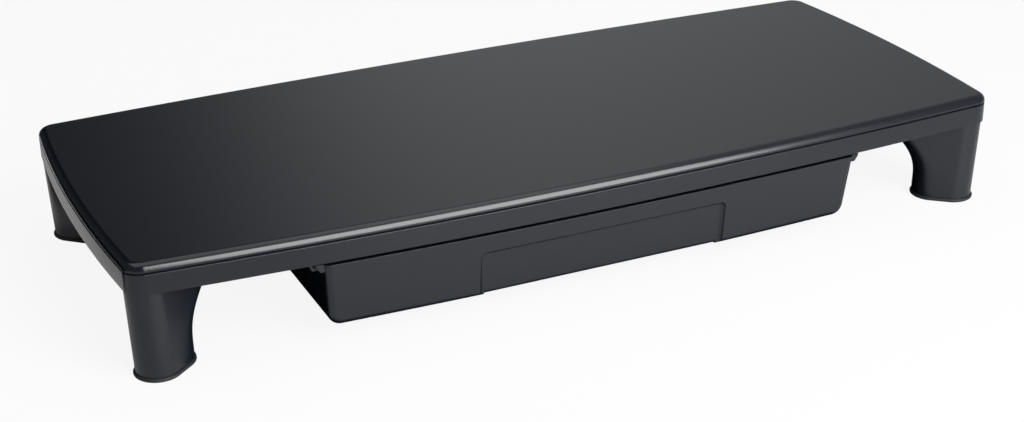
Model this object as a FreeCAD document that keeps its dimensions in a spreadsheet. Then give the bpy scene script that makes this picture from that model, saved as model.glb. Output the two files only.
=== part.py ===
import FreeCAD, Part
import math
import os
import re

import Sketcher
from FreeCAD import Vector

# Monitor stand with a drawer under its top, in millimetres.
# +X runs along the long side, +Y to the back, +Z up. The origin is on the desk, under the middle.

os.makedirs("parts", exist_ok=True)
doc = FreeCAD.newDocument("monitor_stand")
sheet = doc.addObject("Spreadsheet::Sheet", "Sizes")
finished = []

# Outside of the top, seen from above
deck_width = 560
deck_depth = 238
front_bow = 10.9
back_bow = 6.7
side_bow = 5.9
corner_radius = 10.5

# Height above the desk
stand_height = 70.4

# Top panel
edge_radius = 4.7
rim_height = 4.8
rim_wall = 3.0
panel_plate = 3.0
panel_boss_radius = 3.5
panel_boss_hole = 1.75
panel_skin = 1.4

# Frame under the panel
skirt_height = 11.35
seam_height = 1.4
seam_depth = 2.0
rim_clearance = 0.5
web_rise = 5.15
web_plate = 2.5
skirt_wall = 2.5
rib_wall = 2.0
rib_pitch_across = 52
rib_pitch_deep = 50
corner_margin = 2.0
boss_radius = 4.5
boss_hole = 1.75
boss_rise = 4.0
boss_skin = 1.0

# Legs
leg_corner_across = 10.7
leg_corner_deep = 11.3
leg_top_radius = 11.3
leg_bottom_radius = 12.5
leg_inner_radius = 12.7
leg_lean_across = 3.2
leg_lean_deep = 1.4
leg_span_across = 9.0
leg_span_deep = 7.9
leg_wall = 2.5
leg_top_plate = 3.0
flare_start = 13.5
flare_radius = 30
flare_bend = 31.5
flare_spread = 22

# Feet
foot_height = 2.2
foot_bead = 1.1
foot_round = 0.9
plug_height = 4.5
plug_wall = 1.8
plug_clearance = 0.1

# Drawer
drawer_width = 339.4
drawer_depth = 200
drawer_height = 39.75
drawer_gap = 2.0
drawer_setback = 0.2
drawer_side_lean = 0.070
drawer_front_lean = 0.124
drawer_wall = 2.2
drawer_floor = 2.2
drawer_side_round = 7.7
drawer_end_round = 4.3
flange_plate = 1.7
flange_reach = 4.3
ear_setback = 6.8
ear_width = 5.9
ear_height = 4.35
ear_depth = 3.0
ear_bevel_across = 2.4
ear_bevel_height = 3.6
lug_height = 1.5
lug_depth = 3.0

# Finger recess in the drawer front
grip_width = 158
grip_top = 40.3
grip_depth = 2.7
grip_slope = 1.4
grip_corner = 4.5
grip_sweep = 3.6
grip_round = 3.0

# Runners
rail_end_gap = 0.6
rail_length = 203
rail_wall = 2.6
rail_side_gap = 0.6
rail_drop = 6.35
rail_ledge = 1.8
rail_ledge_reach = 4.0
rail_roof = 2.2
rail_mount_reach = 12.5
rail_gap = 2.0
rail_bevel_across = 2.2
rail_bevel_height = 4.4
bead_width = 1.2
runner_clearance = 0.25
stop_depth = 3.0
stop_width = 1.9
drawer_travel = 150
gusset_pitch = 44
gusset_wall = 1.8
gusset_drop = 3.5

# Screws
screw_radius = 1.7
screw_hole = 2.1
screw_head_radius = 3.6
screw_head_height = 2.2
screw_crown = 0.8
screw_crown_radius = 2.4
screw_tip = 1.5
panel_screw_head_radius = 5.2
panel_screw_length = 9
leg_screw_length = 12
leg_screw_pitch_across = 13
leg_screw_pitch_deep = 12.5
rail_screw_length = 9
rail_screw_pitch = 84
drive_width = 0.9
drive_length = 3.6
drive_depth = 1.2

# Each size above goes in a cell of its own, under its own name
numbers = {name: value for name, value in list(vars().items()) if type(value) in (int, float)}
for row, (name, value) in enumerate(numbers.items(), 1):
    sheet.set("A%d" % row, str(value))
    sheet.setAlias("A%d" % row, name)
doc.recompute()


# A formula is written once, in the sheet's names. It is bound to a property, or worked out as
# a number where a sketch needs a first place for its lines.

def in_sheet(formula):
    def qualify(word):
        name = word.group(0)
        return "Sizes." + name if name in numbers else name
    return re.sub(r"[a-z_]+", qualify, str(formula))


def amount(formula):
    """Work a formula out from its innermost brackets, one pair at a time."""
    def fill(word):
        name = word.group(0)
        return "{%r}" % float(numbers[name]) if name in numbers else name

    def settle(found):
        inside = found.group(2).replace("{", "(").replace("}", ")")
        value = FreeCAD.Units.Quantity(inside).Value
        return "{%r}" % (math.sqrt(value) if found.group(1) else value)

    text = "(%s)" % re.sub(r"[a-z_]+", fill, str(formula))
    while "(" in text:
        text = re.sub(r"(sqrt)?\(([^()]*)\)", settle, text)
    return float(text.strip("{}"))


def bind(target, **formulas):
    for place, formula in formulas.items():
        target.setExpression(place.replace("__", "."), in_sheet(formula))


# Heights that more than one piece uses
UNDERSIDE = "(stand_height - rim_height - seam_height - skirt_height)"
PANEL_UNDER = "(stand_height - panel_plate)"
RIM_BOTTOM = "(stand_height - rim_height)"
SKIRT_TOP = "(stand_height - rim_height - seam_height)"
WEB_UNDER = "(stand_height - rim_height - seam_height - skirt_height + web_rise)"
WEB_TOP = "(stand_height - rim_height - seam_height - skirt_height + web_rise + web_plate)"
RAIL_TOP = "(stand_height - rim_height - seam_height - skirt_height + web_rise - rail_gap)"
MOUNT_UNDER = "(stand_height - rim_height - seam_height - skirt_height + web_rise - rail_gap - rail_roof)"
DRAWER_TOP = "(stand_height - rim_height - seam_height - skirt_height - drawer_gap)"
DRAWER_BOTTOM = "(stand_height - rim_height - seam_height - skirt_height - drawer_gap - drawer_height)"

# Lines of the outside, seen from above
CORNER_ACROSS = "(deck_width/2 - side_bow)"
CORNER_FRONT = "(-deck_depth/2 + front_bow)"
CORNER_BACK = "(deck_depth/2 - back_bow)"
FRONT_RADIUS = "((front_bow^2 + (deck_width/2 - side_bow)^2) / (2*front_bow))"
BACK_RADIUS = "((back_bow^2 + (deck_width/2 - side_bow)^2) / (2*back_bow))"
HALF_CORNER_DEPTH = "((deck_depth - front_bow - back_bow)/2)"
SIDE_RADIUS = "((side_bow^2 + " + HALF_CORNER_DEPTH + "^2) / (2*side_bow))"

# Lines of the drawer and its runners
DRAWER_FRONT = "(-deck_depth/2 + drawer_setback)"
DRAWER_BACK = "(-deck_depth/2 + drawer_setback + drawer_depth)"
FRONT_TILT = "atan(drawer_front_lean)"
FLANGE_TIP = "(drawer_width/2 + flange_reach)"
EAR_FRONT = "(-deck_depth/2 + drawer_setback + ear_setback)"
RAIL_FRONT = "(-deck_depth/2 + drawer_setback + ear_setback + ear_depth + rail_end_gap)"
RAIL_INSIDE = "(drawer_width/2 + flange_reach + rail_side_gap)"
RAIL_OUTSIDE = "(drawer_width/2 + flange_reach + rail_side_gap + rail_wall)"
RAIL_SCREW_ACROSS = RAIL_OUTSIDE + " + rail_mount_reach/2"
RAIL_SCREW_MIDDLE = RAIL_FRONT + " + rail_length/2"
PANEL_SCREWS = [
    (side * step, row)
    for side in (-1, 1)
    for step in (2, 4)
    for row in (-1, 1)
]
CORNERS = [
    ("front_left", -1, -1),
    ("front_right", 1, -1),
    ("back_left", -1, 1),
    ("back_right", 1, 1),
]


# Sketches

def plane_sketch(body, name, role, height):
    plane = [item for item in body.Origin.OriginFeatures if item.Role == role][0]
    sketch = body.newObject("Sketcher::SketchObject", name)
    sketch.AttachmentSupport = (plane, [""])
    sketch.MapMode = "FlatFace"
    bind(sketch, AttachmentOffset__Base__z=height)
    return sketch


def measure(sketch, name, kind, formula, *places):
    """Add one named dimension and bind it to its formula."""
    index = sketch.addConstraint(Sketcher.Constraint(kind, *places, amount(formula)))
    sketch.renameConstraint(index, name)
    sketch.setExpression("Constraints." + name, in_sheet(formula))


def locate(sketch, name, geometry, point, across, deep):
    """Hold a point at its distances from the sketch's origin, on whichever side it lies."""
    for kind, axis, formula in (("DistanceX", "across", across), ("DistanceY", "deep", deep)):
        label = "%s_%s" % (name, axis)
        if amount(formula) < 0:
            measure(sketch, label, kind, "-(%s)" % formula, geometry, point, -1, 1)
        else:
            measure(sketch, label, kind, formula, -1, 1, geometry, point)


def arc(centre, radius, first, last):
    circle = Part.Circle(Vector(centre[0], centre[1], 0), Vector(0, 0, 1), radius)
    return Part.ArcOfCircle(circle, first, last)


def line(first, last):
    return Part.LineSegment(Vector(first[0], first[1], 0), Vector(last[0], last[1], 0))


def meeting_point(first, first_radius, second, second_radius, toward):
    """Point where two circles meet, on the side that a direction points to."""
    gap = (second[0] - first[0], second[1] - first[1])
    apart = math.hypot(*gap)
    along = (first_radius ** 2 - second_radius ** 2 + apart ** 2) / (2 * apart)
    off = math.sqrt(first_radius ** 2 - along ** 2)
    middle = (first[0] + gap[0] * along / apart, first[1] + gap[1] * along / apart)
    points = [
        (middle[0] - sign * gap[1] * off / apart, middle[1] + sign * gap[0] * off / apart)
        for sign in (-1, 1)
    ]
    return max(points, key=lambda point: point[0] * toward[0] + point[1] * toward[1])


def bowed_outline(body, name, inset, height):
    """Outline of the top, bowed on its four sides, taken in from the edge by an inset."""
    sketch = plane_sketch(body, name, "XY_Plane", height)
    turn = 2 * math.pi
    bows = [
        ((0, amount(CORNER_FRONT + " - front_bow + " + FRONT_RADIUS)), amount(FRONT_RADIUS)),
        ((amount("deck_width/2 - " + SIDE_RADIUS), amount("(front_bow - back_bow)/2")),
         amount(SIDE_RADIUS)),
        ((0, amount(CORNER_BACK + " + back_bow - " + BACK_RADIUS)), amount(BACK_RADIUS)),
        ((amount(SIDE_RADIUS + " - deck_width/2"), amount("(front_bow - back_bow)/2")),
         amount(SIDE_RADIUS)),
    ]
    corner = amount("corner_radius")
    outwards = [(1, -1), (1, 1), (-1, 1), (-1, -1)]
    corners = []
    for index in range(4):
        first, second = bows[index], bows[(index + 1) % 4]
        corners.append(meeting_point(first[0], first[1] - corner, second[0], second[1] - corner,
                                     outwards[index]))

    def bearing(start, end):
        return math.atan2(end[1] - start[1], end[0] - start[0])

    for index in range(4):
        centre, radius = bows[index]
        before = bearing(centre, corners[index - 1])
        after = bearing(centre, corners[index])
        while after < before:
            after += turn
        sketch.addGeometry(arc(centre, radius - amount(inset), before, after))
        ahead = bearing(bows[(index + 1) % 4][0], corners[index])
        while ahead < after:
            ahead += turn
        sketch.addGeometry(arc(corners[index], corner - amount(inset), after, ahead))
    for index in range(8):
        sketch.addConstraint(Sketcher.Constraint("Tangent", index, 2, (index + 1) % 8, 1))
    for index, radius in enumerate((FRONT_RADIUS, SIDE_RADIUS, BACK_RADIUS, SIDE_RADIUS)):
        measure(sketch, "bow_%d" % index, "Radius", "%s - (%s)" % (radius, inset), 2 * index)
        measure(sketch, "corner_%d" % index, "Radius", "corner_radius - (%s)" % inset,
                2 * index + 1)
    sketch.addConstraint(Sketcher.Constraint("PointOnObject", 0, 3, -2))
    sketch.addConstraint(Sketcher.Constraint("PointOnObject", 4, 3, -2))
    measure(sketch, "front_centre", "DistanceY",
            "%s - deck_depth/2" % FRONT_RADIUS, -1, 1, 0, 3)
    measure(sketch, "back_centre", "DistanceY",
            "%s - deck_depth/2" % BACK_RADIUS, 4, 3, -1, 1)
    locate(sketch, "right", 2, 3, "deck_width/2 - " + SIDE_RADIUS, "(front_bow - back_bow)/2")
    locate(sketch, "left", 6, 3, SIDE_RADIUS + " - deck_width/2", "(front_bow - back_bow)/2")
    return sketch


def oval_outline(body, name, height, first, first_radius, second, second_radius):
    """Outline round two circles and the two lines that touch both."""
    sketch = plane_sketch(body, name, "XY_Plane", height)
    start = (amount(first[0]), amount(first[1]))
    end = (amount(second[0]), amount(second[1]))
    radii = (amount(first_radius), amount(second_radius))
    heading = math.atan2(end[1] - start[1], end[0] - start[0])
    apart = math.hypot(end[0] - start[0], end[1] - start[1])
    open_angle = math.acos((radii[0] - radii[1]) / apart)
    low, high = heading - open_angle, heading + open_angle

    def on_circle(centre, radius, angle):
        return (centre[0] + radius * math.cos(angle), centre[1] + radius * math.sin(angle))

    sketch.addGeometry(arc(start, radii[0], high, low + 2 * math.pi))
    sketch.addGeometry(line(on_circle(start, radii[0], low), on_circle(end, radii[1], low)))
    sketch.addGeometry(arc(end, radii[1], low, high))
    sketch.addGeometry(line(on_circle(end, radii[1], high), on_circle(start, radii[0], high)))
    for index in range(4):
        sketch.addConstraint(Sketcher.Constraint("Tangent", index, 2, (index + 1) % 4, 1))
    measure(sketch, "first_radius", "Radius", first_radius, 0)
    measure(sketch, "second_radius", "Radius", second_radius, 2)
    locate(sketch, "first", 0, 3, *first)
    locate(sketch, "second", 2, 3, *second)
    return sketch


def polygon(body, name, role, height, points):
    """Closed outline of straight lines, each corner held at its own place."""
    sketch = plane_sketch(body, name, role, height)
    places = [(amount(across), amount(deep)) for across, deep in points]
    count = len(points)
    for index in range(count):
        sketch.addGeometry(line(places[index], places[(index + 1) % count]))
    for index in range(count):
        sketch.addConstraint(Sketcher.Constraint("Coincident", index, 2, (index + 1) % count, 1))
        locate(sketch, "corner_%d" % index, index, 1, *points[index])
    return sketch


def circles(body, name, height, radius, places):
    sketch = plane_sketch(body, name, "XY_Plane", height)
    for index, (across, deep) in enumerate(places):
        centre = Vector(amount(across), amount(deep), 0)
        sketch.addGeometry(Part.Circle(centre, Vector(0, 0, 1), amount(radius)))
        measure(sketch, "radius_%d" % index, "Radius", radius, index)
        locate(sketch, "centre_%d" % index, index, 3, across, deep)
    return sketch


# Features

def body_named(name):
    body = doc.addObject("PartDesign::Body", name)
    body.Label = name
    return body


def pad(body, name, sketch, length, downward=False):
    feature = body.newObject("PartDesign::Pad", name)
    feature.Profile = sketch
    feature.Reversed = downward
    bind(feature, Length=length)
    return feature


def pocket(body, name, sketch, length, upward=True):
    feature = body.newObject("PartDesign::Pocket", name)
    feature.Profile = sketch
    feature.Reversed = upward
    bind(feature, Length=length)
    return feature


def loft(body, name, sketches, kind="PartDesign::AdditiveLoft"):
    feature = body.newObject(kind, name)
    feature.Profile = sketches[0]
    feature.Sections = sketches[1:]
    feature.Ruled = False
    return feature


def round_edges(body, name, feature, radius, chosen):
    doc.recompute()
    edges = [
        "Edge%d" % (index + 1)
        for index, edge in enumerate(feature.Shape.Edges)
        if chosen(edge)
    ]
    fillet = body.newObject("PartDesign::Fillet", name)
    fillet.Base = (feature, edges)
    bind(fillet, Radius=radius)
    return fillet


def all_at_height(height):
    level = amount(height)

    def chosen(edge):
        box = edge.BoundBox
        return abs(box.ZMin - level) < 1e-4 and abs(box.ZMax - level) < 1e-4
    return chosen


def box(name, across, deep, height, corner):
    feature = doc.addObject("Part::Box", name)
    bind(feature, Length=across, Width=deep, Height=height,
         Placement__Base__x=corner[0], Placement__Base__y=corner[1],
         Placement__Base__z=corner[2])
    return feature


def rod(name, radius, height, base):
    feature = doc.addObject("Part::Cylinder", name)
    bind(feature, Radius=radius, Height=height, Placement__Base__x=base[0],
         Placement__Base__y=base[1], Placement__Base__z=base[2])
    return feature


def joined(name, shapes):
    feature = doc.addObject("Part::MultiFuse", name)
    feature.Shapes = shapes
    feature.Refine = True
    return feature


def shared(name, base, tool):
    feature = doc.addObject("Part::Common", name)
    feature.Base = base
    feature.Tool = tool
    return feature


def cut(name, base, tool):
    feature = doc.addObject("Part::Cut", name)
    feature.Base = base
    feature.Tool = tool
    feature.Refine = True
    return feature


def finish(feature, name):
    feature.Label = name
    finished.append(feature)


# Top panel: a moulded cover whose rim laps the frame and whose bosses stand on the frame's web

def panel_screw_places():
    return [
        ("%d*rib_pitch_across" % step, "%d*rib_pitch_deep" % row)
        for step, row in PANEL_SCREWS
    ]


def top_panel():
    body = body_named("top_panel")
    rim = bowed_outline(body, "panel_outline", "0", RIM_BOTTOM)
    block = pad(body, "panel_block", rim, "rim_height")
    round_edges(body, "panel_edge", block, "edge_radius", all_at_height("stand_height"))
    inside = bowed_outline(body, "panel_inside", "rim_wall", RIM_BOTTOM)
    pocket(body, "panel_hollow", inside, "rim_height - panel_plate")
    bosses = circles(body, "panel_boss_outline", PANEL_UNDER, "panel_boss_radius",
                     panel_screw_places())
    pad(body, "panel_bosses", bosses, PANEL_UNDER + " - " + WEB_TOP, downward=True)
    holes = circles(body, "panel_hole_outline", WEB_TOP, "panel_boss_hole",
                    panel_screw_places())
    pocket(body, "panel_holes", holes, "stand_height - panel_skin - " + WEB_TOP)
    finish(body, "top_panel")


# Frame: a tray whose web and ribs carry the panel, with a skirt below and bosses that the legs and
# runners are screwed to

def leg_spot(corner, across, deep):
    """Place in the plan, counted inwards from the corner of the frame that a leg stands under."""
    _, side, end = corner
    spot_across = "%d*(%s - (%s))" % (side, CORNER_ACROSS, across)
    if end < 0:
        return (spot_across, "%s + (%s)" % (CORNER_FRONT, deep))
    return (spot_across, "%s - (%s)" % (CORNER_BACK, deep))


def leg_screw_places(corner):
    return [
        leg_spot(corner, "leg_corner_across + %d*leg_screw_pitch_across" % step,
                 "leg_corner_deep + %d*leg_screw_pitch_deep" % step)
        for step in (0, 1)
    ]


def rail_screw_places(side):
    return [
        ("%d*(%s)" % (side, RAIL_SCREW_ACROSS),
         "%s + %d*rail_screw_pitch" % (RAIL_SCREW_MIDDLE, step))
        for step in (-1, 0, 1)
    ]


def frame_shell():
    """Skirt and web, hollow above the web where the ribs stand and below it down to the edge."""
    body = body_named("frame_shell")
    wall = bowed_outline(body, "skirt_outline", "0", UNDERSIDE)
    pad(body, "skirt_block", wall, SKIRT_TOP + " - " + UNDERSIDE)
    seam = bowed_outline(body, "seam_outline", "0", SKIRT_TOP)
    slope = pad(body, "seam_slope", seam, "seam_height")
    bind(slope, TaperAngle="-atan(seam_depth/seam_height)")
    lip = bowed_outline(body, "lip_outline", "rim_wall + rim_clearance", RIM_BOTTOM)
    pad(body, "lip_step", lip, "rim_height - panel_plate")
    upper = bowed_outline(body, "upper_inside", "rim_wall + rim_clearance + rib_wall", WEB_TOP)
    pocket(body, "upper_hollow", upper, PANEL_UNDER + " - " + WEB_TOP)
    lower = bowed_outline(body, "lower_inside", "skirt_wall", UNDERSIDE)
    pocket(body, "lower_hollow", lower, "web_rise")
    return body


def trim_block(name, inset, bottom, height):
    """Block that ends inside the frame's wall, used to trim what is joined to the wall."""
    body = body_named(name)
    outline = bowed_outline(body, name + "_outline", inset, bottom)
    pad(body, name + "_pad", outline, height)
    return body


def frame_ribs():
    ribs = []
    rise = "(%s - %s + web_plate/2)" % (PANEL_UNDER, WEB_TOP)
    bottom = WEB_TOP + " - web_plate/2"
    for step in range(-5, 5):
        place = "(%d + 0.5)*rib_pitch_across - rib_wall/2" % step
        ribs.append(box("rib_deep_%d" % (step + 5), "rib_wall", "deck_depth", rise,
                        (place, "-deck_depth/2", bottom)))
    for step in range(-2, 2):
        place = "(%d + 0.5)*rib_pitch_deep - rib_wall/2" % step
        ribs.append(box("rib_across_%d" % (step + 2), "deck_width", "rib_wall", rise,
                        ("-deck_width/2", place, bottom)))
    trim = trim_block("rib_trim", "rim_wall + rim_clearance + rib_wall/2", bottom, rise)
    return shared("trimmed_ribs", joined("ribs", ribs), trim)


def corner_seats():
    """A solid pad over each leg, as deep as the skirt."""
    pads = []
    reach = "(leg_span_%s + leg_corner_%s + leg_inner_radius + flare_spread*0.72 + corner_margin)"
    for name, side, end in CORNERS:
        across = reach % ("across", "across") + " + side_bow"
        deep = reach % ("deep", "deep") + (" + front_bow" if end < 0 else " + back_bow")
        left = "-deck_width/2" if side < 0 else "deck_width/2 - (%s)" % across
        front = "-deck_depth/2" if end < 0 else "deck_depth/2 - (%s)" % deep
        pads.append(box("seat_" + name, across, deep, "web_rise + web_plate/2",
                        (left, front, UNDERSIDE)))
    trim = trim_block("seat_trim", "skirt_wall/2", UNDERSIDE, "web_rise + web_plate/2")
    return shared("trimmed_seats", joined("seats", pads), trim)


def under_frame():
    solids = [frame_shell(), frame_ribs(), corner_seats()]
    holes = []
    leg_rise = WEB_TOP + " + boss_rise - " + UNDERSIDE
    for corner in CORNERS:
        for index, (across, deep) in enumerate(leg_screw_places(corner)):
            tag = "%s_%d" % (corner[0], index)
            base = (across, deep, UNDERSIDE)
            solids.append(rod("leg_boss_" + tag, "boss_radius", leg_rise, base))
            holes.append(rod("leg_pilot_" + tag, "boss_hole", leg_rise + " - boss_skin", base))
    rail_rise = WEB_TOP + " + boss_rise - " + RAIL_TOP
    for side, label in ((-1, "left"), (1, "right")):
        for index, (across, deep) in enumerate(rail_screw_places(side)):
            tag = "%s_%d" % (label, index)
            base = (across, deep, RAIL_TOP)
            solids.append(rod("rail_boss_" + tag, "boss_radius", rail_rise, base))
            holes.append(rod("rail_pilot_" + tag, "boss_hole", rail_rise + " - boss_skin", base))
    for index, (across, deep) in enumerate(panel_screw_places()):
        holes.append(rod("web_hole_%d" % index, "screw_hole", "web_plate",
                         (across, deep, WEB_UNDER)))
    frame = cut("frame", joined("frame_solids", solids), joined("frame_holes", holes))
    finish(frame, "under_frame")


# Legs: hollow mouldings, oval in plan, that lean out towards the corner and flare inwards at the top

def leg_stations():
    """Heights where a leg's outline is set, each with how far its inner end has flared."""
    steps = 3
    stations = [("foot_height", "0")]
    for step in range(steps + 1):
        rise = "((flare_bend - flare_start)*%d/%d)" % (step, steps)
        spread = "(flare_radius - sqrt(flare_radius^2 - %s^2))" % rise
        stations.append(("(flare_start + %s)" % rise, spread))
    stations.append((UNDERSIDE, "flare_spread"))
    return stations


def leg_outline(body, name, corner, height, spread, wall, level):
    share = "((%s - foot_height)/(%s - foot_height))" % (height, UNDERSIDE)
    diagonal = "(%s / sqrt(leg_span_across^2 + leg_span_deep^2))" % spread
    outer = leg_spot(corner,
                     "leg_corner_across + leg_lean_across*(1 - %s)" % share,
                     "leg_corner_deep + leg_lean_deep*(1 - %s)" % share)
    inner = leg_spot(corner,
                     "leg_corner_across + leg_lean_across + leg_span_across*(1 + %s)" % diagonal,
                     "leg_corner_deep + leg_lean_deep + leg_span_deep*(1 + %s)" % diagonal)
    outer_radius = "leg_bottom_radius + (leg_top_radius - leg_bottom_radius)*%s - %s"
    return oval_outline(body, name, level, outer, outer_radius % (share, wall),
                        inner, "leg_inner_radius - %s" % wall)


def leg(corner):
    name = "leg_" + corner[0]
    body = body_named(name)
    outside = []
    inside = []
    for index, (height, spread) in enumerate(leg_stations()):
        outside.append(leg_outline(body, "%s_out_%d" % (name, index), corner, height, spread,
                                   "0", height))
    loft(body, name + "_column", outside)
    for index, (height, spread) in enumerate(leg_stations()):
        level = height
        if height == UNDERSIDE:
            level = "(%s - leg_top_plate)" % UNDERSIDE
            spread = "(flare_spread - leg_top_plate)"
        inside.append(leg_outline(body, "%s_in_%d" % (name, index), corner, level, spread,
                                  "leg_wall", level))
    loft(body, name + "_hollow", inside, "PartDesign::SubtractiveLoft")
    holes = circles(body, name + "_holes_outline", UNDERSIDE + " - leg_top_plate",
                    "screw_hole", leg_screw_places(corner))
    pocket(body, name + "_holes", holes, "leg_top_plate")
    finish(body, name)


# Feet: rubber pads with a beaded edge and a plug that grips inside the leg

def foot(corner):
    name = "foot_" + corner[0]
    body = body_named(name)

    def outline(label, height, growth):
        first = leg_spot(corner, "leg_corner_across + leg_lean_across",
                         "leg_corner_deep + leg_lean_deep")
        second = leg_spot(corner, "leg_corner_across + leg_lean_across + leg_span_across",
                          "leg_corner_deep + leg_lean_deep + leg_span_deep")
        return oval_outline(body, name + label, height,
                            first, "leg_bottom_radius + (%s)" % growth,
                            second, "leg_inner_radius + (%s)" % growth)

    sole = pad(body, name + "_sole", outline("_sole_outline", "0", "foot_bead"), "foot_height")

    def rim(edge):
        return all_at_height("0")(edge) or all_at_height("foot_height")(edge)

    round_edges(body, name + "_bead", sole, "foot_round", rim)
    plug = "-leg_wall - plug_clearance - plug_height*(leg_bottom_radius - leg_top_radius)" \
           "/(stand_height - rim_height - seam_height - skirt_height - foot_height)"
    pad(body, name + "_plug", outline("_plug_outline", "foot_height", plug), "plug_height")
    well = outline("_well_outline", "foot_height", plug + " - plug_wall")
    pocket(body, name + "_well", well, "plug_height")
    finish(body, name)


# Drawer: one moulding with leaning walls, a finger recess in its front and a flange along each side

def drawer_bow(name, wall):
    """Cylinder that gives the drawer's front its bow and its lean."""
    radius = "(%s - drawer_setback - %s)" % (FRONT_RADIUS, wall)
    below = "(drawer_depth + drawer_height)"
    roller = doc.addObject("Part::Cylinder", name)
    roller.Placement = FreeCAD.Placement(Vector(), FreeCAD.Rotation(Vector(1, 0, 0), 1))
    bind(roller, Radius=radius, Height="2*" + below,
         Placement__Base__y="%s + %s + %s*cos(%s) + %s*sin(%s)"
         % (DRAWER_FRONT, wall, radius, FRONT_TILT, below, FRONT_TILT),
         Placement__Base__z="%s + %s*sin(%s) - %s*cos(%s)"
         % (DRAWER_TOP, radius, FRONT_TILT, below, FRONT_TILT),
         Placement__Rotation__Angle=FRONT_TILT)
    return roller


def drawer_block(name, wall, floor):
    """Block with the drawer's leaning sides, its edges rounded, taken in by a wall."""
    half = "(drawer_width/2 - %s)" % wall
    ahead = "-(deck_depth/2 + front_bow)"
    back = "(%s - %s)" % (DRAWER_BACK, wall)
    corners = [("-" + half, ahead), (half, ahead), (half, back), ("-" + half, back)]
    straight = body_named(name + "_straight")
    outline = polygon(straight, name + "_outline", "XY_Plane", DRAWER_TOP, corners)
    block = pad(straight, name + "_pad", outline, "drawer_height - %s" % floor, downward=True)
    bind(block, TaperAngle="-atan(drawer_side_lean)")
    body = body_named(name)
    body.BaseFeature = shared(name + "_bowed", straight, drawer_bow(name + "_bow", wall))
    doc.recompute()
    top = amount(DRAWER_TOP)
    low = amount(DRAWER_BOTTOM + " + " + floor)

    def side_at_floor(edge):
        box = edge.BoundBox
        return box.ZMax < low + 0.01 and box.YLength > box.XLength

    def round_the_ends(edge):
        box = edge.BoundBox
        return box.ZMin < top - 0.01 and box.YLength < drawer_depth/2

    sides = round_edges(body, name + "_sides", body.Group[0], "drawer_side_round - " + wall,
                        side_at_floor)
    round_edges(body, name + "_ends", sides, "drawer_end_round - " + wall, round_the_ends)
    return body


def grip_wedge(name, shift, spread, swell):
    """Tool with sloping sides and a flat end, leaning with the drawer's front."""
    body = body_named(name)
    wedge = body.newObject("PartDesign::AdditiveWedge", name + "_wedge")
    sag = "(grip_width^2/8/%s)" % FRONT_RADIUS
    half = "(grip_width/2 + grip_slope/grip_depth*%s + %s)" % (sag, spread)
    reach = "(grip_depth + %s/2)" % sag
    flare = "(grip_slope/grip_depth*%s)" % reach
    top = "(grip_top - %s + %s)" % (DRAWER_TOP, spread)
    low = "-drawer_height - grip_slope"
    end = "(%s + %s)" % (shift, reach)
    bind(wedge, Xmin="-(%s + %s)" % (half, flare), Xmax="%s + %s" % (half, flare),
         X2min="-(%s - %s)" % (half, flare), X2max="%s - %s" % (half, flare),
         Ymin="%s - %s" % (shift, reach), Ymax=end,
         Zmin=low, Zmax="%s + %s" % (top, flare), Z2min=low, Z2max="%s - %s" % (top, flare))
    inner = amount(end)

    def slanted_corner(edge):
        box = edge.BoundBox
        return box.XLength > 1 and box.YLength > 1 and box.ZLength > 1

    def round_the_end(edge):
        box = edge.BoundBox
        return box.YMin > inner - 0.01 and box.ZMax > amount("-drawer_height")

    corners = round_edges(body, name + "_corners", wedge, "grip_corner + %s" % swell,
                          slanted_corner)
    round_edges(body, name + "_sweep", corners, "grip_sweep + %s" % swell, round_the_end)
    body.Placement = FreeCAD.Placement(Vector(), FreeCAD.Rotation(Vector(1, 0, 0), 1))
    bind(body, Placement__Base__y=DRAWER_FRONT, Placement__Base__z=DRAWER_TOP,
         Placement__Rotation__Angle=FRONT_TILT)
    return body


def grip_lower_edge(name):
    """What comes off the recess's lower edge to round it."""
    reach = "(grip_depth + grip_width^2/16/%s)" % FRONT_RADIUS
    cosine = "cos(%s)" % FRONT_TILT
    sine = "sin(%s)" % FRONT_TILT
    length = "(grip_width - 2*grip_sweep)"
    edge = "(%s + (%s + drawer_height*%s)/%s)" % (DRAWER_FRONT, reach, sine, cosine)
    centre = "(%s + grip_round*(1 - %s)/%s)" % (edge, sine, cosine)
    corner = box(name + "_corner", length, "grip_round*2", "grip_round*(1 - %s) + 1" % sine,
                 ("-grip_width/2 + grip_sweep", "%s - grip_round*2" % centre,
                  DRAWER_BOTTOM + " - 1"))
    roller = doc.addObject("Part::Cylinder", name + "_roller")
    bind(roller, Radius="grip_round", Height=length)
    roller.Placement = FreeCAD.Placement(Vector(), FreeCAD.Rotation(Vector(0, 1, 0), 90))
    bind(roller, Placement__Base__x="-grip_width/2 + grip_sweep", Placement__Base__y=centre,
         Placement__Base__z=DRAWER_BOTTOM + " + grip_round")
    return cut(name, corner, roller)


def mirrored_prism(name, side, corners, length, front):
    """Prism along Y on one side of the middle, from an outline seen from the front."""
    body = body_named(name)
    placed = [("%d*(%s)" % (side, across), height) for across, height in corners]
    outline = polygon(body, name + "_outline", "XZ_Plane", "-(%s)" % front, placed)
    pad(body, name + "_pad", outline, length, downward=True)
    return body


def mirrored_box(name, side, inner, outer, deep, height, front, bottom):
    """Box on one side of the middle, between two distances from it."""
    left = inner if side > 0 else "-(%s)" % outer
    return box(name, "%s - (%s)" % (outer, inner), deep, height, (left, front, bottom))


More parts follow.
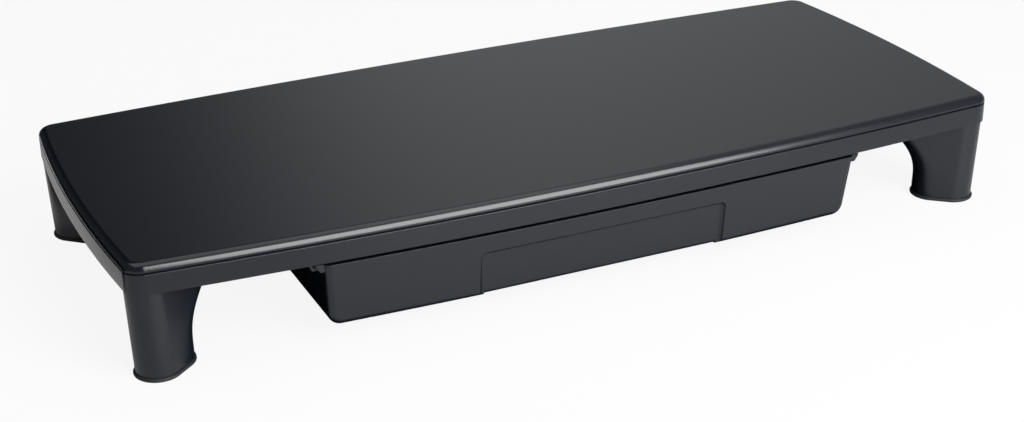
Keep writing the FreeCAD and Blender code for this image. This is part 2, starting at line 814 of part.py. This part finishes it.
def drawer_sides():
    pieces = []
    for side, label in ((-1, "left"), (1, "right")):
        inner = "(%s - ear_width)" % FLANGE_TIP
        pieces.append(mirrored_box("flange_" + label, side, "drawer_width/2 - drawer_wall/2",
                                   FLANGE_TIP, "drawer_depth - ear_setback - ear_depth",
                                   "flange_plate", EAR_FRONT + " + ear_depth",
                                   DRAWER_TOP + " - flange_plate"))
        ear_low = DRAWER_TOP + " - ear_height"
        corners = [
            (inner, ear_low),
            (FLANGE_TIP + " - ear_bevel_across", ear_low),
            (FLANGE_TIP, ear_low + " + ear_bevel_height"),
            (FLANGE_TIP, DRAWER_TOP),
            (inner, DRAWER_TOP),
        ]
        pieces.append(mirrored_prism("ear_" + label, side, corners, "ear_depth", EAR_FRONT))
        pieces.append(mirrored_box("lug_" + label, side, "(%s - stop_width)" % FLANGE_TIP,
                                   FLANGE_TIP, "lug_depth", "lug_height + flange_plate/2",
                                   DRAWER_BACK + " - lug_depth",
                                   DRAWER_TOP + " - flange_plate/2"))
    return pieces


def drawer_tray():
    wall = "drawer_wall"
    spread = "drawer_wall*(sqrt(grip_depth^2 + grip_slope^2) - grip_slope)/grip_depth"
    recess = joined("grip_recess", [grip_wedge("grip", "0", "0", "0"),
                                    grip_lower_edge("grip_edge")])
    block = cut("drawer_outside", drawer_block("drawer_body", "0", "0"), recess)
    hollow = cut("drawer_inside", drawer_block("drawer_hollow", wall, "drawer_floor"),
                 grip_wedge("grip_back", wall, spread, wall))
    tray = cut("drawer_shell", joined("drawer_solids", [block] + drawer_sides()), hollow)
    finish(tray, "drawer_tray")


# Runners: a channel of one section, with a plate screwed up to the frame and gussets under it

def rail(side, label):
    name = "rail_" + label
    ledge_tip = "(%s - rail_ledge_reach)" % RAIL_INSIDE
    bead_side = "(%s - rail_ledge_reach + bead_width)" % RAIL_INSIDE
    mount_tip = "(%s + rail_mount_reach)" % RAIL_OUTSIDE
    low = "(stand_height - rim_height - seam_height - skirt_height - rail_drop)"
    flange_under = "(%s - flange_plate)" % DRAWER_TOP
    points = [
        (ledge_tip, low),
        (RAIL_OUTSIDE + " - rail_bevel_across", low),
        (RAIL_OUTSIDE, low + " + rail_bevel_height"),
        (RAIL_OUTSIDE, MOUNT_UNDER),
        (mount_tip, MOUNT_UNDER),
        (mount_tip, RAIL_TOP),
        (ledge_tip, RAIL_TOP),
        (ledge_tip, DRAWER_TOP + " + runner_clearance"),
        (bead_side, DRAWER_TOP + " + runner_clearance"),
        (bead_side, MOUNT_UNDER),
        (RAIL_INSIDE, MOUNT_UNDER),
        (RAIL_INSIDE, low + " + rail_ledge"),
        (bead_side, low + " + rail_ledge"),
        (bead_side, flange_under + " - runner_clearance"),
        (ledge_tip, flange_under + " - runner_clearance"),
    ]
    body = mirrored_prism(name + "_section_run", side, points, "rail_length", RAIL_FRONT)
    plates = []
    stop_front = "(%s - lug_depth - drawer_travel - runner_clearance - stop_depth)" % DRAWER_BACK
    stop_bottom = "(%s + 2*runner_clearance)" % DRAWER_TOP
    plates.append(mirrored_box(name + "_stop", side, "(%s - stop_width)" % RAIL_INSIDE,
                               "(%s + rail_wall/2)" % RAIL_INSIDE, "stop_depth",
                               "%s + rail_roof/2 - %s" % (MOUNT_UNDER, stop_bottom),
                               stop_front, stop_bottom))
    for step in (-3, -1, 1, 3):
        corners = [
            (RAIL_OUTSIDE + " - rail_wall/2", MOUNT_UNDER + " - gusset_drop"),
            (RAIL_OUTSIDE, MOUNT_UNDER + " - gusset_drop"),
            (mount_tip + " - gusset_wall", MOUNT_UNDER),
            (mount_tip + " - gusset_wall", MOUNT_UNDER + " + rail_roof/2"),
            (RAIL_OUTSIDE + " - rail_wall/2", MOUNT_UNDER + " + rail_roof/2"),
        ]
        front = "%s + %d*gusset_pitch/2 - gusset_wall/2" % (RAIL_SCREW_MIDDLE, step)
        plates.append(mirrored_prism("%s_gusset_%d" % (name, step + 3), side, corners,
                                     "gusset_wall", front))
    holes = [
        rod("%s_hole_%d" % (name, index), "screw_hole", "rail_roof", (across, deep, MOUNT_UNDER))
        for index, (across, deep) in enumerate(rail_screw_places(side))
    ]
    runner = cut(name + "_runner", joined(name + "_solids", [body] + plates),
                 joined(name + "_holes", holes))
    finish(runner, name)


# Screws: crowned heads with a cross recess, all driven from below

def screw(name, across, deep, seat, length, head_radius):
    under = "(%s - screw_head_height)" % seat
    head = rod(name + "_head", head_radius, "screw_head_height - screw_crown",
               (across, deep, "%s + screw_crown" % under))
    crown = doc.addObject("Part::Cone", name + "_crown")
    bind(crown, Radius1="screw_crown_radius*%s/screw_head_radius" % head_radius,
         Radius2=head_radius, Height="screw_crown", Placement__Base__x=across,
         Placement__Base__y=deep, Placement__Base__z=under)
    shank = rod(name + "_shank", "screw_radius", "%s - screw_tip" % length,
                (across, deep, seat))
    tip = doc.addObject("Part::Cone", name + "_tip")
    bind(tip, Radius1="screw_radius", Radius2="screw_radius/2", Height="screw_tip",
         Placement__Base__x=across, Placement__Base__y=deep,
         Placement__Base__z="%s + %s - screw_tip" % (seat, length))
    slots = [
        box("%s_slot_%d" % (name, index), wide, deep_size, "drive_depth",
            ("%s - %s/2" % (across, wide), "%s - %s/2" % (deep, deep_size), under))
        for index, (wide, deep_size) in enumerate(
            (("drive_length", "drive_width"), ("drive_width", "drive_length")))
    ]
    return cut(name + "_solid", joined(name + "_blank", [head, crown, shank, tip]),
               joined(name + "_drive", slots))


def screw_group(name, places, seat, length, head_radius):
    group = doc.addObject("Part::Compound", name)
    group.Links = [
        screw("%s_%d" % (name, index), across, deep, seat, length, head_radius)
        for index, (across, deep) in enumerate(places)
    ]
    finish(group, name)


# Every sub-part, then the check and the files

top_panel()
under_frame()
for each in CORNERS:
    leg(each)
    foot(each)
    screw_group("leg_screws_" + each[0], leg_screw_places(each),
                UNDERSIDE + " - leg_top_plate", "leg_screw_length", "screw_head_radius")
drawer_tray()
for hand, tag in ((-1, "left"), (1, "right")):
    rail(hand, tag)
    screw_group("rail_screws_" + tag, rail_screw_places(hand), MOUNT_UNDER,
                "rail_screw_length", "screw_head_radius")
screw_group("panel_screws", panel_screw_places(), WEB_UNDER, "panel_screw_length",
            "panel_screw_head_radius")
doc.recompute()

for item in doc.Objects:
    if "Invalid" in item.State or "Error" in item.State:
        raise RuntimeError("%s did not build" % item.Name)
for item in finished:
    if item.Shape.isNull() or not item.Shape.isValid():
        raise RuntimeError("%s has no sound shape" % item.Label)
    item.Shape.exportStep("parts/%s.step" % item.Label)
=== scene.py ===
import bpy
import math
from mathutils import Matrix, Vector

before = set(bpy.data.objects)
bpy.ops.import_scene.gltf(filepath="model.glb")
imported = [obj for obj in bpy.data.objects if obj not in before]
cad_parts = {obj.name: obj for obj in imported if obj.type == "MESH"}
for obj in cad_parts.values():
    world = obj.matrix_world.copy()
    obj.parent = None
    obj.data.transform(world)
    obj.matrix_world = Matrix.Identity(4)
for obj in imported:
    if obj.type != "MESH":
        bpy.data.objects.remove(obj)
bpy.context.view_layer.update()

# Camera: stands off the stand's left front corner and looks down on the top,
# as a product photographer would, with a lens a little longer than normal.

standpoint = Vector((-0.448284, -0.963088, 0.488363))
turned, tilted, rolled = 0.430084, 0.429105, -0.013714
ahead = Vector((
    math.sin(turned) * math.cos(tilted),
    math.cos(turned) * math.cos(tilted),
    -math.sin(tilted),
))
level = Vector((math.cos(turned), -math.sin(turned), 0))
upright = level.cross(ahead)
across = level * math.cos(rolled) + upright * math.sin(rolled)
upward = upright * math.cos(rolled) - level * math.sin(rolled)
lens = bpy.data.cameras.new("camera")
lens.sensor_width = 36
lens.lens = 64.908
lens.clip_start = 0.01
camera = bpy.data.objects.new("camera", lens)
camera.matrix_world = Matrix((across, upward, -ahead)).transposed().to_4x4()
camera.location = standpoint
bpy.context.scene.collection.objects.link(camera)
bpy.context.scene.camera = camera


# Top panel: one injection moulding in charcoal ABS, with a softly polished face and a
# rounded rim that closes on the frame below it with a narrow seam.

def put(tree, kind, place, **inputs):
    """A shader node of one kind, its inputs set or linked by name or number (i0, i1 and so on)."""
    made = tree.nodes.new(kind)
    made.location = (place * 190, -60 * (len(tree.nodes) % 5))
    for name, value in inputs.items():
        numbered = name[1:].isdigit()
        socket = made.inputs[int(name[1:]) if numbered else name.replace("_", " ")]
        if isinstance(value, bpy.types.NodeSocket):
            tree.links.new(value, socket)
        else:
            socket.default_value = value
    return made


def moulded_surface():
    """Node group for moulded plastic: cloudy tone, fine grain over a soft peel, rubbed edges."""
    group = bpy.data.node_groups.new("moulded surface", "ShaderNodeTree")
    face = group.interface
    face.new_socket("Colour", in_out="INPUT", socket_type="NodeSocketColor")
    for name, value in (("Cloud", 0.1), ("Roughness", 0.35), ("Grain", 900.0), ("Rubbed", 0.1)):
        socket = face.new_socket(name, in_out="INPUT", socket_type="NodeSocketFloat")
        socket.default_value = value
    face.new_socket("Colour", in_out="OUTPUT", socket_type="NodeSocketColor")
    face.new_socket("Roughness", in_out="OUTPUT", socket_type="NodeSocketFloat")
    face.new_socket("Height", in_out="OUTPUT", socket_type="NodeSocketFloat")
    face.new_socket("Normal", in_out="OUTPUT", socket_type="NodeSocketVector")
    entry = put(group, "NodeGroupInput", 0)
    where = put(group, "ShaderNodeTexCoord", 0).outputs["Object"]
    cloud = put(group, "ShaderNodeTexNoise", 1, Vector=where, Scale=9.0, Detail=4.0, Roughness=0.55)
    speck = put(group, "ShaderNodeTexNoise", 1, Vector=where, Scale=420.0, Detail=2.0,
                Roughness=0.5)
    grain = put(group, "ShaderNodeTexNoise", 1, Vector=where, Scale=entry.outputs["Grain"],
                Detail=3.0, Roughness=0.65)
    both = put(group, "ShaderNodeMath", 2, i0=cloud.outputs["Fac"], i1=speck.outputs["Fac"])
    both.operation = "ADD"
    centred = put(group, "ShaderNodeMath", 3, i0=both.outputs[0], i1=1.0)
    centred.operation = "SUBTRACT"
    swing = put(group, "ShaderNodeMath", 4, i0=centred.outputs[0], i1=entry.outputs["Cloud"])
    swing.operation = "MULTIPLY"
    tone = put(group, "ShaderNodeMath", 5, i0=swing.outputs[0], i1=1.0)
    tone.operation = "ADD"
    toned = put(group, "ShaderNodeVectorMath", 6, i0=entry.outputs["Colour"])
    toned.operation = "SCALE"
    group.links.new(tone.outputs[0], toned.inputs["Scale"])
    soft = put(group, "ShaderNodeBevel", 1, Radius=0.0003)
    soft.samples = 6
    flat = put(group, "ShaderNodeNewGeometry", 1)
    bent = put(group, "ShaderNodeVectorMath", 2, i0=soft.outputs[0], i1=flat.outputs["Normal"])
    bent.operation = "DOT_PRODUCT"
    edge = put(group, "ShaderNodeMapRange", 3, Value=bent.outputs["Value"], i1=0.995, i2=0.8,
               i3=0.0, i4=1.0)
    broken = put(group, "ShaderNodeMath", 4, i0=edge.outputs[0], i1=speck.outputs["Fac"])
    broken.operation = "MULTIPLY"
    rub = put(group, "ShaderNodeMath", 5, i0=broken.outputs[0], i1=entry.outputs["Rubbed"])
    rub.operation = "MULTIPLY"
    worn = put(group, "ShaderNodeMix", 7, i0=rub.outputs[0], i6=toned.outputs[0],
               i7=(0.16, 0.16, 0.17, 1))
    worn.data_type = "RGBA"
    uneven = put(group, "ShaderNodeMath", 5, i0=swing.outputs[0], i1=0.25,
                 i2=entry.outputs["Roughness"])
    uneven.operation = "MULTIPLY_ADD"
    smoothed = put(group, "ShaderNodeMath", 6, i0=uneven.outputs[0], i1=rub.outputs[0])
    smoothed.operation = "SUBTRACT"
    peel = put(group, "ShaderNodeTexNoise", 1, Vector=where, Scale=420.0, Detail=1.0,
               Roughness=0.4)
    relief = put(group, "ShaderNodeMath", 7, i0=peel.outputs["Fac"], i1=0.6, i2=grain.outputs["Fac"])
    relief.operation = "MULTIPLY_ADD"
    leave = put(group, "NodeGroupOutput", 8)
    group.links.new(worn.outputs[2], leave.inputs["Colour"])
    group.links.new(smoothed.outputs[0], leave.inputs["Roughness"])
    group.links.new(relief.outputs[0], leave.inputs["Height"])
    group.links.new(soft.outputs["Normal"], leave.inputs["Normal"])
    return group


plastic_surface = moulded_surface()


def plastic(name, colour, cloud, roughness, grain, depth, rubbed, specular=0.5):
    """A moulded plastic: the surface group feeds a Principled shader and its bump."""
    material = bpy.data.materials.new(name)
    material.use_nodes = True
    tree = material.node_tree
    shader = tree.nodes["Principled BSDF"]
    surface = tree.nodes.new("ShaderNodeGroup")
    surface.node_tree = plastic_surface
    surface.inputs["Colour"].default_value = (*colour, 1)
    surface.inputs["Cloud"].default_value = cloud
    surface.inputs["Roughness"].default_value = roughness
    surface.inputs["Grain"].default_value = grain
    surface.inputs["Rubbed"].default_value = rubbed
    relief = put(tree, "ShaderNodeBump", 2, Strength=1.0, Distance=depth,
                 Height=surface.outputs["Height"], Normal=surface.outputs["Normal"])
    tree.links.new(surface.outputs["Colour"], shader.inputs["Base Color"])
    tree.links.new(surface.outputs["Roughness"], shader.inputs["Roughness"])
    tree.links.new(relief.outputs[0], shader.inputs["Normal"])
    shader.inputs["Specular IOR Level"].default_value = specular
    return material


def dress(node, material):
    """Give a part from the frame one material, in place of those it came with."""
    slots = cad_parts[node].data.materials
    slots.clear()
    slots.append(material)


dress("top_panel", plastic("charcoal top", (0.0036, 0.0047, 0.0080), cloud=0.16, roughness=0.2,
                           grain=1400, depth=0.00001, rubbed=0.03))


# Frame: the skirt and web under the panel, moulded in the same charcoal ABS but a little
# flatter in finish, with the seam groove running round its upper edge.

dress("under_frame", plastic("charcoal frame", (0.0038, 0.0050, 0.0084), cloud=0.16, roughness=0.26,
                             grain=1400, depth=0.00001, rubbed=0.03))


# Legs: four hollow mouldings, oval in plan, flared inwards under the top and screwed up
# into the frame's corners.

corners = ("front_left", "front_right", "back_left", "back_right")
leg_plastic = plastic("charcoal legs", (0.0040, 0.0053, 0.0090), cloud=0.16, roughness=0.32,
                      grain=1200, depth=0.00001, rubbed=0.03)
for corner in corners:
    dress("leg_" + corner, leg_plastic)


# Feet: soft black rubber pads with a bead round them, that keep the stand from sliding.
# Each has a short plug, pressed into the open end of its leg.

foot_rubber = plastic("foot rubber", (0.012, 0.012, 0.012), cloud=0.3, roughness=0.62,
                      grain=900, depth=0.00003, rubbed=0.1, specular=0.35)
for corner in corners:
    dress("foot_" + corner, foot_rubber)


# Drawer: a shallow ABS tray with leaning sides and a finger recess along the bottom of its
# front, run on flanges that its side walls carry.

dress("drawer_tray", plastic("charcoal drawer", (0.0042, 0.0055, 0.0092), cloud=0.18,
                             roughness=0.32, grain=1200, depth=0.00001, rubbed=0.03))


# Runners: two channels in plain black plastic, screwed up to the frame, that the drawer's
# flanges slide in.

rail_plastic = plastic("black runners", (0.008, 0.0085, 0.01), cloud=0.15, roughness=0.42,
                       grain=1000, depth=0.00001, rubbed=0.1)
dress("rail_left", rail_plastic)
dress("rail_right", rail_plastic)


# Screws: zinc-plated steel, with crowned heads and a cross recess. All are driven from
# below: through the legs and runners into the frame, and through the frame into the panel.

screw_steel = plastic("zinc plated steel", (0.42, 0.42, 0.43), cloud=0.1, roughness=0.32,
                      grain=3000, depth=0.000005, rubbed=0.1)
screw_steel.node_tree.nodes["Principled BSDF"].inputs["Metallic"].default_value = 1.0
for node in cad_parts:
    if "screws" in node:
        dress(node, screw_steel)


# Floor: a white tabletop that runs out past the picture on every side. It keeps the
# stand's shadow and is lifted to white for the camera. What the glossy plastic mirrors of
# it carries painted shade under the stand, off its left end, towards both ends in front
# and beside the front left leg, and a painted pool of light just off the left end.

floor_reach = 6
floor_mesh = bpy.data.meshes.new("floor")
floor_mesh.from_pydata([(-floor_reach, -floor_reach, 0), (floor_reach, -floor_reach, 0),
                        (floor_reach, floor_reach, 0), (-floor_reach, floor_reach, 0)],
                       [], [(0, 1, 2, 3)])
floor = bpy.data.objects.new("floor", floor_mesh)
bpy.context.scene.collection.objects.link(floor)
floor_white = bpy.data.materials.new("white table")
floor_white.use_nodes = True
tree = floor_white.node_tree
board = tree.nodes["Principled BSDF"]
board.inputs["Base Color"].default_value = (0.6, 0.6, 0.6, 1)
board.inputs["Roughness"].default_value = 0.7
board.inputs["Specular IOR Level"].default_value = 0.2
seen = put(tree, "ShaderNodeLightPath", 0)
place = put(tree, "ShaderNodeNewGeometry", 0).outputs["Position"]
spot = put(tree, "ShaderNodeSeparateXYZ", 0, Vector=place)


def reach(value, start, end, low=0.0, high=1.0):
    """A mask that passes from one value to another over a stretch of the table."""
    ramp = put(tree, "ShaderNodeMapRange", 1, Value=value, i1=start, i2=end, i3=low, i4=high)
    return ramp.outputs[0]


def worked_out(operation, *values):
    """One step of arithmetic on masks."""
    inputs = {"i%d" % index: value for index, value in enumerate(values)}
    step = put(tree, "ShaderNodeMath", 2, **inputs)
    step.operation = operation
    return step.outputs[0]


along, deep = spot.outputs["X"], spot.outputs["Y"]
for_camera, for_gloss = seen.outputs["Is Camera Ray"], seen.outputs["Is Glossy Ray"]
from_middle = worked_out("ABSOLUTE", along)
from_centre = worked_out("ABSOLUTE", deep)
# Masks of painted shade, seen only in the plastic's reflections: under the stand, off its left end,
# towards both ends in front and beside the front left leg.
leg_setback = reach(from_middle, 0.17, 0.19, 0.0, 0.018)
from_front = worked_out("ADD", from_centre, leg_setback)
painted_shadow_under_stand = worked_out("MULTIPLY", reach(from_middle, 0.285, 0.265),
                         reach(from_front, 0.123, 0.117))
behind_left = reach(deep, -0.07, -0.02)
far_left = worked_out("MULTIPLY", reach(along, -0.315, -0.345), behind_left)
# Painted light: just off the left end, the table the plastic mirrors is lifted towards white.
painted_light_left = worked_out("MULTIPLY", reach(along, -0.28, -0.30, 0.0, 0.7), behind_left)
front_ends = worked_out("MAXIMUM", reach(along, -0.06, -0.16, 0.0, 0.55),
                        reach(along, 0.16, 0.3, 0.0, 0.4))
in_front = worked_out("MULTIPLY", front_ends, reach(deep, -0.185, -0.205))
beside_leg = worked_out("MULTIPLY", reach(along, -0.24, -0.28, 0.0, 0.45),
                        reach(deep, -0.05, -0.08))
# All the painted shade together; for glossy rays it turns the lift black.
near_painted_shade = worked_out("MAXIMUM", in_front, beside_leg)
far_painted_shade = worked_out("MAXIMUM", painted_shadow_under_stand, far_left)
painted_shade = worked_out("MAXIMUM", far_painted_shade, near_painted_shade)
clear = worked_out("SUBTRACT", 1.0, painted_shade)
lift = put(tree, "ShaderNodeEmission", 4, Color=worked_out("MAXIMUM", clear, for_camera),
           Strength=1.0)
# How much of the painted shade and painted light goes into what the plastic mirrors.
painted_reflection_share = worked_out("MULTIPLY", worked_out("MAXIMUM", painted_shade, painted_light_left), for_gloss)
camera_lift = 0.9
share = worked_out("MULTIPLY_ADD", for_camera, camera_lift, painted_reflection_share)
blend = put(tree, "ShaderNodeMixShader", 5, i0=share, i1=board.outputs[0], i2=lift.outputs[0])
tree.links.new(blend.outputs[0], tree.nodes["Material Output"].inputs["Surface"])
floor_mesh.materials.append(floor_white)


# Light: one broad softbox in front and to the right and a weak one overhead, in a studio
# that is dark on the left and pale on the right.

world = bpy.data.worlds.new("studio")
bpy.context.scene.world = world
world.use_nodes = True
tree = world.node_tree
sky = tree.nodes["Background"]
sky.inputs["Color"].default_value = (0.97, 0.985, 1.0, 1)
where = put(tree, "ShaderNodeTexCoord", 0).outputs["Generated"]
side = put(tree, "ShaderNodeSeparateXYZ", 1, Vector=where)
glow = put(tree, "ShaderNodeFloatCurve", 2, Value=side.outputs["X"])
line = glow.mapping.curves[0]
line.points[0].location = (0.0, 0.0)
line.points[1].location = (1.0, 0.3)
brightness = ((0.05, 0.0), (0.11, 0.04), (0.2, 0.11), (0.3, 0.42),
              (0.38, 0.54), (0.5, 0.48), (0.65, 0.34))
for bearing, strength in brightness:
    line.points.new(bearing, strength)
glow.mapping.update()
tree.links.new(glow.outputs[0], sky.inputs["Strength"])
open_sky = put(tree, "ShaderNodeBackground", 2, Color=(1, 1, 1, 1), Strength=1.0)
seen = put(tree, "ShaderNodeLightPath", 0)
mixed = put(tree, "ShaderNodeMixShader", 3, i0=seen.outputs["Is Camera Ray"], i1=sky.outputs[0],
            i2=open_sky.outputs[0])
tree.links.new(mixed.outputs[0], tree.nodes["World Output"].inputs["Surface"])


def softbox(name, place, aim, size, radiance):
    """A rectangular lamp at a place, facing a point, as bright all over as its radiance."""
    lamp = bpy.data.lights.new(name, "AREA")
    lamp.shape = "RECTANGLE"
    lamp.size, lamp.size_y = size
    lamp.energy = radiance * math.pi * size[0] * size[1]
    holder = bpy.data.objects.new(name, lamp)
    holder.location = place
    holder.rotation_euler = (Vector(aim) - Vector(place)).to_track_quat("-Z", "Y").to_euler()
    bpy.context.scene.collection.objects.link(holder)


softbox("front softbox", place=(0.33, -1.24, 0.64), aim=(0.0, -0.1, 0.05), size=(1.05, 1.3),
        radiance=9.5)
softbox("overhead softbox", place=(-0.2, 0.1, 1.8), aim=(-0.2, 0.1, 0), size=(2.2, 1.8),
        radiance=1.2)

bpy.context.scene.view_settings.view_transform = "Standard"
